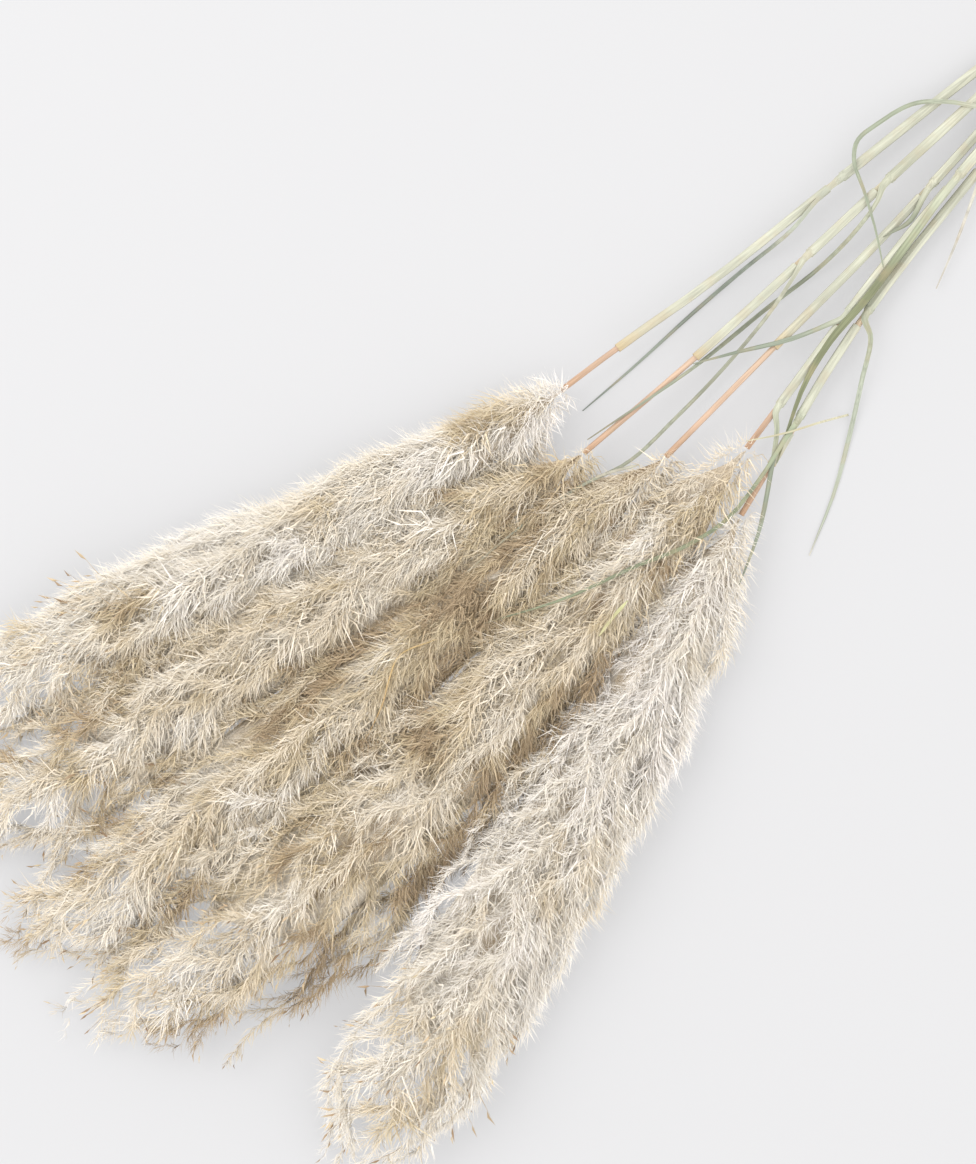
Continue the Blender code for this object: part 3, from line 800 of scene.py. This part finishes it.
def plantTufts(plume, look, tones, rng):
    # of each tuft: its place, turn, size, kind, tone and the way that it faces
    tufts = []

    def put(place, turn, size, kind, tone, facing):
        sizes = [size * k for k in (look["underSize"] if deep else (1, 1, 1))]
        tufts.append((place, turn, sizes, kind, clamp(tone, *toneLook["range"]), (facing + up).normalized()))

    for start, bend, edges, long, deep in planTails(plumeLook, rng, tones["extra"]):
        line = tailLine(plume, start, bend, edges, long, plumeLook, rng)
        tailTone = tones["tone"] + tones["contrast"] * rng.gauss(0, toneLook["tails"])
        gap = look["underGap"] if deep else look["gap"] * tones["sparse"]
        for place, way, share in walk(line, gap, rng):
            here = shareOf(plume, place)
            if rng.random() < look["thinned"] * (here - look["thinFrom"]) / look["thinOver"]:
                continue
            middle, _, top, bottom = plumeAt(plume, here)
            outward = place - middle - up * (bottom + (top - bottom) * look["heart"])
            outward = (outward - way * outward.dot(way)).normalized()
            around = rng.gauss(0, look["around"])
            radial = outward * math.cos(around) + way.cross(outward) * math.sin(around)
            lean = rng.uniform(*look["lean"]) * (1 - look["leanEase"] * share)
            lean += look["neckLean"] * max(0, 1 - here / look["neckBy"])
            point = way * math.cos(lean) + radial * math.sin(lean)
            low, rise = look["fall"]
            fall = low + rise * math.sin(math.pi * min(1, lift(share, look["fallFrom"], 1)))
            size = lift(share, *look["size"]) * fall * rng.uniform(*look["sizes"])
            tone = tuftTone(plume, place, here, radial, toneLook, tones, tailTone, rng)
            kind = rng.randrange(tuftLook["kinds"])
            put(place + radial * look["out"], turnTo(point, way), size, kind, tone, radial)
            mayBear = share > spikeletLook["along"] and here > spikeletLook["past"] and not deep
            if mayBear and rng.random() < spikeletLook["share"]:
                aim = turnTo((way * spikeletLook["ahead"] + radial).normalized(), way)
                size *= rng.uniform(*spikeletLook["sizes"])
                put(place, aim, size, tuftLook["kinds"], rng.uniform(*spikeletLook["tones"]), outward)
    return tufts


def growPlume(node, tree, material, look, tones):
    rng = random.Random(tones["seed"])
    plume = readPlume(node, look["sections"], look["inset"])
    plume.update({key: tones[key] for key in ("splay", "past", "meets")})
    addCore(plume, coreLook, tones["core"])
    tufts = plantTufts(plume, plantLook, tones, rng)
    places, turns, sizes, kinds, tints, facings = zip(*tufts)
    data = bpy.data.meshes.new(f"{node}Points")
    data.vertices.add(len(places))
    data.vertices.foreach_set("co", np.array(places, np.float32).ravel())
    for name, kind, values in (
        ("turn", "QUATERNION", turns),
        ("size", "FLOAT_VECTOR", sizes),
        ("outward", "FLOAT_VECTOR", facings),
        ("kind", "INT", kinds),
        ("tone", "FLOAT", tints),
    ):
        layer = data.attributes.new(name, kind, "POINT")
        field = "vector" if kind == "FLOAT_VECTOR" else "value"
        layer.data.foreach_set(field, np.array(values, np.int32 if kind == "INT" else np.float32).ravel())
    points = linked(f"{node}Points", data)
    points.modifiers.new("tufts", "NODES").node_group = tree
    graph = bpy.context.evaluated_depsgraph_get()
    fluff = bpy.data.meshes.new_from_object(points.evaluated_get(graph), depsgraph=graph)
    bpy.data.objects.remove(points)
    settle(fluff, look["flatBelow"], look["laidAbove"], look["lowest"])
    for name in ("along", "spread", "tone", "kind", "size", "turn", "outward"):
        if name in fluff.attributes:
            fluff.attributes.remove(fluff.attributes[name])
    finishPiece(linked(f"{node}Fluff", fluff), material, "plume", node)
    print(node, len(tufts), "tufts", len(fluff.polygons), "faces")


def settle(mesh, below, above, lowest):
    # hairs below the table are pressed into a thin layer on it, and the highest are laid down
    co = np.empty(len(mesh.vertices) * 3, np.float32)
    mesh.vertices.foreach_get("co", co)
    z = co.reshape(-1, 3)[:, 2]
    low = z < below
    z[low] = below * np.exp(np.maximum(z[low] - below, -lowest) / below)
    high = z > above
    z[high] = above + below * (1 - np.exp(-(z[high] - above) / below))
    mesh.vertices.foreach_set("co", co)


def addPlumes():
    kinds = bpy.data.collections.new("tuftKinds")
    stock = [makeTuft(tuftLook, i) for i in range(tuftLook["kinds"])] + [makeSpikelet(spikeletLook)]
    for i, obj in enumerate(stock):
        obj.name = f"kind{i}"
        kinds.objects.link(obj)
        bpy.context.scene.collection.objects.unlink(obj)
    tree = makeTuftTree(kinds, tuftLook)
    material = makeHairMaterial(hairLook)
    for node, tones in plumeTones.items():
        growPlume(node, tree, material, plumeLook, tones)
    for obj in stock:
        bpy.data.objects.remove(obj)
    bpy.data.node_groups.remove(tree)
    bpy.data.collections.remove(kinds)


def spreadFrom(bm, sources):
    # how far each vertex is from the nearest source, along the edges
    far = {v: 0.0 for v in sources}
    queue = [(0.0, v.index, v) for v in sources]
    heapq.heapify(queue)
    while queue:
        here, _, vert = heapq.heappop(queue)
        if here > far[vert]:
            continue
        for edge in vert.link_edges:
            other = edge.other_vert(vert)
            there = here + edge.calc_length()
            if there < far.get(other, math.inf):
                far[other] = there
                heapq.heappush(queue, (there, other.index, other))
    return far


# edges sharper than sharp are rims, and a blade starts where its leaf is clear of the stem
markLook = {
    "sharp": math.radians(40),
    "cutEnd": 0.0015,
    "clear": 0.004,
    "shortest": 0.02,
    "leastBlade": 0.001,
    "collar": 0.3,
}


def markedCopy(node, suffix, look, stem=None):
    # along: metres from the cut end. rim: metres from the nearest edge. part: sheath, then blade up to 1
    bm = bmesh.new()
    bm.from_mesh(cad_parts[node].data)
    bmesh.ops.remove_doubles(bm, verts=bm.verts, dist=weld)
    alongLayer, rimLayer, partLayer = floatLayers(bm, "along", "rim", "part")
    bm.verts.index_update()
    corners = [e for e in bm.edges if len(e.link_faces) == 2 and e.calc_face_angle() > look["sharp"]]
    for edge in bm.edges:
        edge.smooth = True
    for edge in corners:
        edge.smooth = False
    end = max(v.co.x for v in bm.verts)
    along = spreadFrom(bm, [v for v in bm.verts if v.co.x > end - look["cutEnd"]])
    rim = spreadFrom(bm, {v for e in corners for v in e.verts}) if corners else {}
    total = max(along.values())
    collar = total
    if stem:
        tree = BVHTree.FromPolygons(*stemFaces(stem))
        away = sorted((along[v], tree.find_nearest(v.co)[3]) for v in bm.verts)
        clear = [a for a, distance in away if distance > look["clear"]]
        collar = max(look["shortest"], clear[0]) if clear else total
    for vert in bm.verts:
        here = along.get(vert, 0.0)
        inBlade = lift((here - collar) / max(look["leastBlade"], total - collar), look["collar"], 1)
        vert[alongLayer], vert[rimLayer] = here, rim.get(vert, 0.0)
        vert[partLayer] = look["collar"] * here / collar if here < collar else inBlade
    return objectFrom(f"{node}{suffix}", bm)


def stemFaces(stem):
    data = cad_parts[stem].data
    return [v.co for v in data.vertices], [tuple(p.vertices) for p in data.polygons]


fibreLook = {"fineness": 900.0, "lengthwise": 25, "lineDetail": 2, "mottle": 60.0, "mottleDetail": 4}


def makeFibres(look):
    # lines along a stalk or leaf, and a slow mottle
    group = bpy.data.node_groups.new("fibreLines", "ShaderNodeTree")
    face = group.interface
    for name in ("Fineness", "Mottle"):
        socket = face.new_socket(name, in_out="INPUT", socket_type="NodeSocketFloat")
        socket.default_value = look[name.lower()]
    for name in ("Lines", "Patches"):
        face.new_socket(name, in_out="OUTPUT", socket_type="NodeSocketFloat")
    links = group.links
    start, end = addNode(group, "NodeGroupInput", (-900, 0)), addNode(group, "NodeGroupOutput", (400, 0))
    along = addNode(group, "ShaderNodeAttribute", (-900, 300), attribute_name="along")
    rim = addNode(group, "ShaderNodeAttribute", (-900, -300), attribute_name="rim")
    place = addNode(group, "ShaderNodeTexCoord", (-900, -600))
    slow = addNode(
        group, "ShaderNodeMath", (-650, 300), operation="MULTIPLY", inputs={1: look["lengthwise"]}
    )
    quick = addNode(group, "ShaderNodeMath", (-650, -100), operation="MULTIPLY")
    across = addNode(group, "ShaderNodeVectorMath", (-650, -500), operation="SCALE")
    apart = addNode(group, "ShaderNodeSeparateXYZ", (-450, -500))
    joined = addNode(group, "ShaderNodeCombineXYZ", (-250, 0))
    lines = addNode(
        group, "ShaderNodeTexNoise", (-50, 100), inputs={"Scale": 1, "Detail": look["lineDetail"]}
    )
    patches = addNode(group, "ShaderNodeTexNoise", (-50, -250), inputs={"Detail": look["mottleDetail"]})
    links.new(along.outputs["Fac"], slow.inputs[0])
    links.new(rim.outputs["Fac"], quick.inputs[0])
    links.new(start.outputs["Fineness"], quick.inputs[1])
    links.new(place.outputs["Object"], across.inputs[0])
    links.new(start.outputs["Fineness"], across.inputs["Scale"])
    links.new(across.outputs[0], apart.inputs[0])
    links.new(slow.outputs[0], joined.inputs[0])
    links.new(quick.outputs[0], joined.inputs[1])
    links.new(apart.outputs[2], joined.inputs[2])
    links.new(joined.outputs[0], lines.inputs["Vector"])
    links.new(place.outputs["Object"], patches.inputs["Vector"])
    links.new(start.outputs["Mottle"], patches.inputs["Scale"])
    links.new(lines.outputs["Fac"], end.inputs["Lines"])
    links.new(patches.outputs["Fac"], end.inputs["Patches"])
    return group


# how strongly the lines and the dry spots show, and the ranges of their noises
stalkLook = {
    "roughness": 0.6,
    "specular": 0.35,
    "lines": 0.30,
    "stemLines": 0.35,
    "linePale": 0.4,
    "lineRange": (0.3, 0.7),
    "dry": (0.42, 0.30, 0.17),
    "dryness": 0.35,
    "dryRange": (0.5, 0.75),
    "bump": 0.5,
    "bumpDepth": 0.0002,
}


def mapRange(tree, place, *values):
    node = addNode(tree, "ShaderNodeMapRange", place)
    for socket, value in zip(("From Min", "From Max", "To Min", "To Max"), values):
        node.inputs[socket].default_value = value
    return node


def makeStalkMaterial(name, fibres, stops, lines=stalkLook["lines"]):
    look = stalkLook
    material, tree, shader = startMaterial(name, look)
    links = tree.links
    part = addNode(tree, "ShaderNodeAttribute", (-900, 200), attribute_name="part")
    ramp = colourRamp(tree, stops, (-700, 200))
    group = addNode(tree, "ShaderNodeGroup", (-900, -200), node_tree=fibres)
    shade = mapRange(tree, (-650, -100), *look["lineRange"], 1 - lines, 1 + lines * look["linePale"])
    streaks = addNode(tree, "ShaderNodeVectorMath", (-400, 150), operation="SCALE")
    spots = mapRange(tree, (-650, -400), *look["dryRange"], 0, look["dryness"])
    mix = addNode(tree, "ShaderNodeMix", (-200, 100), data_type="RGBA", inputs={7: (*look["dry"], 1)})
    bump = addNode(
        tree, "ShaderNodeBump", (-250, -300),
        inputs={"Strength": look["bump"], "Distance": look["bumpDepth"]}
    )
    links.new(part.outputs["Fac"], ramp.inputs["Fac"])
    links.new(group.outputs["Lines"], shade.inputs["Value"])
    links.new(group.outputs["Patches"], spots.inputs["Value"])
    links.new(ramp.outputs["Color"], streaks.inputs[0])
    links.new(shade.outputs[0], streaks.inputs["Scale"])
    links.new(spots.outputs[0], mix.inputs["Factor"])
    links.new(streaks.outputs[0], mix.inputs[6])
    links.new(mix.outputs[2], shader.inputs["Base Color"])
    links.new(group.outputs["Lines"], bump.inputs["Height"])
    links.new(bump.outputs[0], shader.inputs["Normal"])
    return material


# colours from the cut end to the top of a stem, a sheath and the torn strip. Here 0.3 is the top
stemStops = (
    (0.0, (0.52, 0.47, 0.33)),
    (0.18, (0.52, 0.48, 0.34)),
    (0.215, (0.55, 0.43, 0.30)),
    (0.25, (0.55, 0.40, 0.29)),
    (0.285, (0.52, 0.36, 0.255)),
    (0.30, (0.52, 0.33, 0.21)),
)

sheathColour = (0.49, 0.495, 0.395)
sheathStops = (
    (0.0, sheathColour),
    (0.2, sheathColour),
    (0.27, (0.47, 0.445, 0.335)),
    (0.30, (0.50, 0.40, 0.24)),
)
strawStops = ((0.0, (0.56, 0.53, 0.38)), (0.3, (0.46, 0.44, 0.30)))

# of each leaf: its stem, the blade at its collar, its middle and its tip. leafParts has the places
leafParts = (0.0, 0.24, 0.31, 0.50, 0.88, 1.0)
leafLooks = {
    "leaf_01": ("stem_01", (0.40, 0.42, 0.34), (0.25, 0.28, 0.235), (0.17, 0.20, 0.17)),
    "leaf_02": ("stem_02", (0.40, 0.41, 0.31), (0.26, 0.28, 0.21), (0.24, 0.22, 0.15)),
    "leaf_03": ("stem_02", (0.40, 0.40, 0.31), (0.29, 0.30, 0.23), (0.30, 0.27, 0.19)),
    "leaf_04": ("stem_03", (0.50, 0.51, 0.40), (0.28, 0.31, 0.23), (0.22, 0.25, 0.18)),
    "leaf_05": ("stem_03", (0.38, 0.39, 0.29), (0.25, 0.27, 0.20), (0.22, 0.22, 0.16)),
    "leaf_06": ("stem_04", (0.32, 0.35, 0.24), (0.19, 0.205, 0.115), (0.17, 0.19, 0.12)),
    "leaf_07": ("stem_04", (0.36, 0.38, 0.29), (0.23, 0.26, 0.20), (0.23, 0.25, 0.19)),
    "leaf_08": ("stem_04", (0.36, 0.38, 0.28), (0.25, 0.28, 0.21), (0.24, 0.26, 0.19)),
    "leaf_09": ("stem_05", (0.52, 0.51, 0.42), (0.50, 0.48, 0.42), (0.44, 0.42, 0.36)),
    "leaf_10": ("stem_05", (0.30, 0.33, 0.24), (0.37, 0.40, 0.32), (0.48, 0.48, 0.42)),
    "leaf_11": ("stem_05", (0.32, 0.36, 0.25), (0.21, 0.235, 0.15), (0.185, 0.205, 0.135)),
}


def addGreens():
    fibres = makeFibres(fibreLook)
    stalk = makeStalkMaterial("stemSkin", fibres, stemStops, stalkLook["stemLines"])
    for i in range(1, 6):
        finishPiece(markedCopy(f"stem_0{i}", "Stalk", markLook), stalk, "stem", f"stem_0{i}")
    sheath = makeStalkMaterial("sheathSkin", fibres, sheathStops)
    for node in ("sheath_01", "sheath_02", "sheath_03", "sheath_05"):
        finishPiece(markedCopy(node, "Husk", markLook), sheath, "sheath", node)
    for node, (stem, base, blade, tip) in leafLooks.items():
        stops = tuple(zip(leafParts, (sheathColour, sheathColour, base, blade, blade, tip)))
        skin = makeStalkMaterial("bladeSkin" + node[-2:], fibres, stops)
        finishPiece(markedCopy(node, "Blade", markLook, stem), skin, "leaf", node)
    straw = makeStalkMaterial("strawSkin", fibres, strawStops)
    finishPiece(markedCopy("leaf_strip", "Straw", markLook), straw, "strip", "leaf_strip")
    addBits(fibres)


# ends are how thick a bit's ends are and taper how soon it fills out
bitShape = {"steps": 6, "segments": 8, "ends": (0.35, 0.25), "taper": 4, "order": (1, 0.3, 0.1)}

# places are shares of the bundle's box, lengthwise and across
bitLooks = {
    "bitYellow": {
        "places": ((0.4254, 0.3605), (0.4110, 0.3590), (0.3968, 0.3544)),
        "width": 0.0026, "thick": 0.0006, "raise": 0.008, "slot": "leaf",
        "stops": ((0.0, (0.50, 0.50, 0.26)), (1.0, (0.58, 0.56, 0.32))),
    },
    "bitBranch": {
        "places": ((0.3246, 0.5269), (0.3028, 0.5492), (0.2860, 0.5350), (0.2725, 0.5168), (0.2507, 0.4985)),
        "width": 0.0012, "thick": 0.0012, "raise": 0.006, "slot": "stem",
        "stops": ((0.0, (0.52, 0.38, 0.18)), (1.0, (0.44, 0.30, 0.14))),
    },
    "bitGrey": {
        "places": ((0.4917, 0.4904), (0.4780, 0.5110), (0.4640, 0.5289)),
        "width": 0.0022, "thick": 0.0006, "raise": 0.008, "slot": "leaf",
        "stops": ((0.0, (0.36, 0.35, 0.28)), (1.0, (0.42, 0.40, 0.32))),
    },
}


def smoothLine(points, steps):
    # a curve through the points
    ends = [points[0] * 2 - points[1], *points, points[-1] * 2 - points[-2]]
    for a, b, c, d in zip(ends, ends[1:], ends[2:], ends[3:]):
        square, cube = a * 2 - b * 5 + c * 4 - d, b * 3 - c * 3 + d - a
        for i in range(steps):
            t = i / steps
            yield (b * 2 + (c - a) * t + square * t * t + cube * t ** 3) / 2
    yield points[-1]


def addBit(name, look, shape, surface, fibres):
    low, high = cadBox
    points = []
    for along, across in look["places"]:
        above = Vector((lift(along, low[0], high[0]), lift(across, low[1], high[1]), 1))
        points.append(surface.ray_cast(above, -up)[0] + up * look["raise"])
    line = list(smoothLine(points, shape["steps"]))
    bm = bmesh.new()
    alongLayer, partLayer = floatLayers(bm, "along", "part")
    far = 0.0
    for i, point in enumerate(line):
        share = i / (len(line) - 1)
        way = (line[min(i + 1, len(line) - 1)] - line[max(i - 1, 0)]).normalized()
        first, last = shape["ends"]
        taper = min(1, first + shape["taper"] * share, last + shape["taper"] * (1 - share))
        size = Matrix.Diagonal((look["width"] * taper / 2, look["thick"] * taper / 2, 1, 1))
        place = Matrix.Translation(point) @ way.to_track_quat("Z", "Y").to_matrix().to_4x4() @ size
        if i:
            far += (point - line[i - 1]).length
            made = bmesh.ops.extrude_edge_only(bm, edges=edges)["geom"]
            ring = [v for v in made if isinstance(v, bmesh.types.BMVert)]
            edges = [e for e in made if isinstance(e, bmesh.types.BMEdge)]
            bmesh.ops.transform(bm, matrix=place @ before.inverted(), verts=ring)
        else:
            ring = bmesh.ops.create_circle(bm, segments=shape["segments"], radius=1, matrix=place)["verts"]
            edges = start = list({e for v in ring for e in v.link_edges})
        for vert in ring:
            vert[alongLayer], vert[partLayer] = far, share
        before = place
    bmesh.ops.holes_fill(bm, edges=start + edges)
    bmesh.ops.recalc_face_normals(bm, faces=bm.faces)
    # extruding leaves them in an order that changes each run
    bm.verts.sort(key=lambda v: v.co.dot(shape["order"]))
    bm.faces.sort(key=lambda f: f.calc_center_median().dot(shape["order"]))
    finishPiece(objectFrom(name, bm), makeStalkMaterial(name + "Skin", fibres, look["stops"]), look["slot"])


def addBits(fibres):
    # the tops of the plumes, for the bits to lie on
    points, faces = [], []
    for node in plumeTones:
        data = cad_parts[node].data
        faces += [[len(points) + i for i in p.vertices] for p in data.polygons]
        points += [v.co for v in data.vertices]
    surface = BVHTree.FromPolygons(points, faces)
    for name, look in bitLooks.items():
        addBit(name, look, bitShape, surface, fibres)


twineLook = {
    "roughness": 0.9,
    "specular": 0.2,
    "colour": (0.52, 0.38, 0.22),
    "shadow": (0.24, 0.15, 0.08),
    "strands": 260 / math.pi,
    "distortion": 1.5,
    "detail": 2,
    "bumpDepth": 0.0003,
}


def dressTwine(look):
    material, tree, shader = startMaterial("twineYarn", look)
    links = tree.links
    place = addNode(tree, "ShaderNodeTexCoord", (-900, 0))
    wave = addNode(
        tree, "ShaderNodeTexWave", (-650, 100), bands_direction="DIAGONAL",
        inputs={"Scale": look["strands"], "Distortion": look["distortion"], "Detail Scale": look["detail"]}
    )
    mix = addNode(
        tree, "ShaderNodeMix", (-300, 100), data_type="RGBA",
        inputs={6: (*look["shadow"], 1), 7: (*look["colour"], 1)}
    )
    bump = addNode(tree, "ShaderNodeBump", (-300, -200), inputs={"Distance": look["bumpDepth"]})
    links.new(place.outputs["Object"], wave.inputs["Vector"])
    links.new(wave.outputs["Fac"], mix.inputs["Factor"])
    links.new(wave.outputs["Fac"], bump.inputs["Height"])
    links.new(mix.outputs[2], shader.inputs["Base Color"])
    links.new(bump.outputs[0], shader.inputs["Normal"])
    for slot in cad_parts["twine_tie"].material_slots:
        slot.material = material


middle = addCamera(cameraLook)
addLights(lightLook, middle)
addFloor(floorLook)
print("stage done")
addPlumes()
print("plumes done")
addGreens()
print("stems and leaves done")
dressTwine(twineLook)
print("twine done")
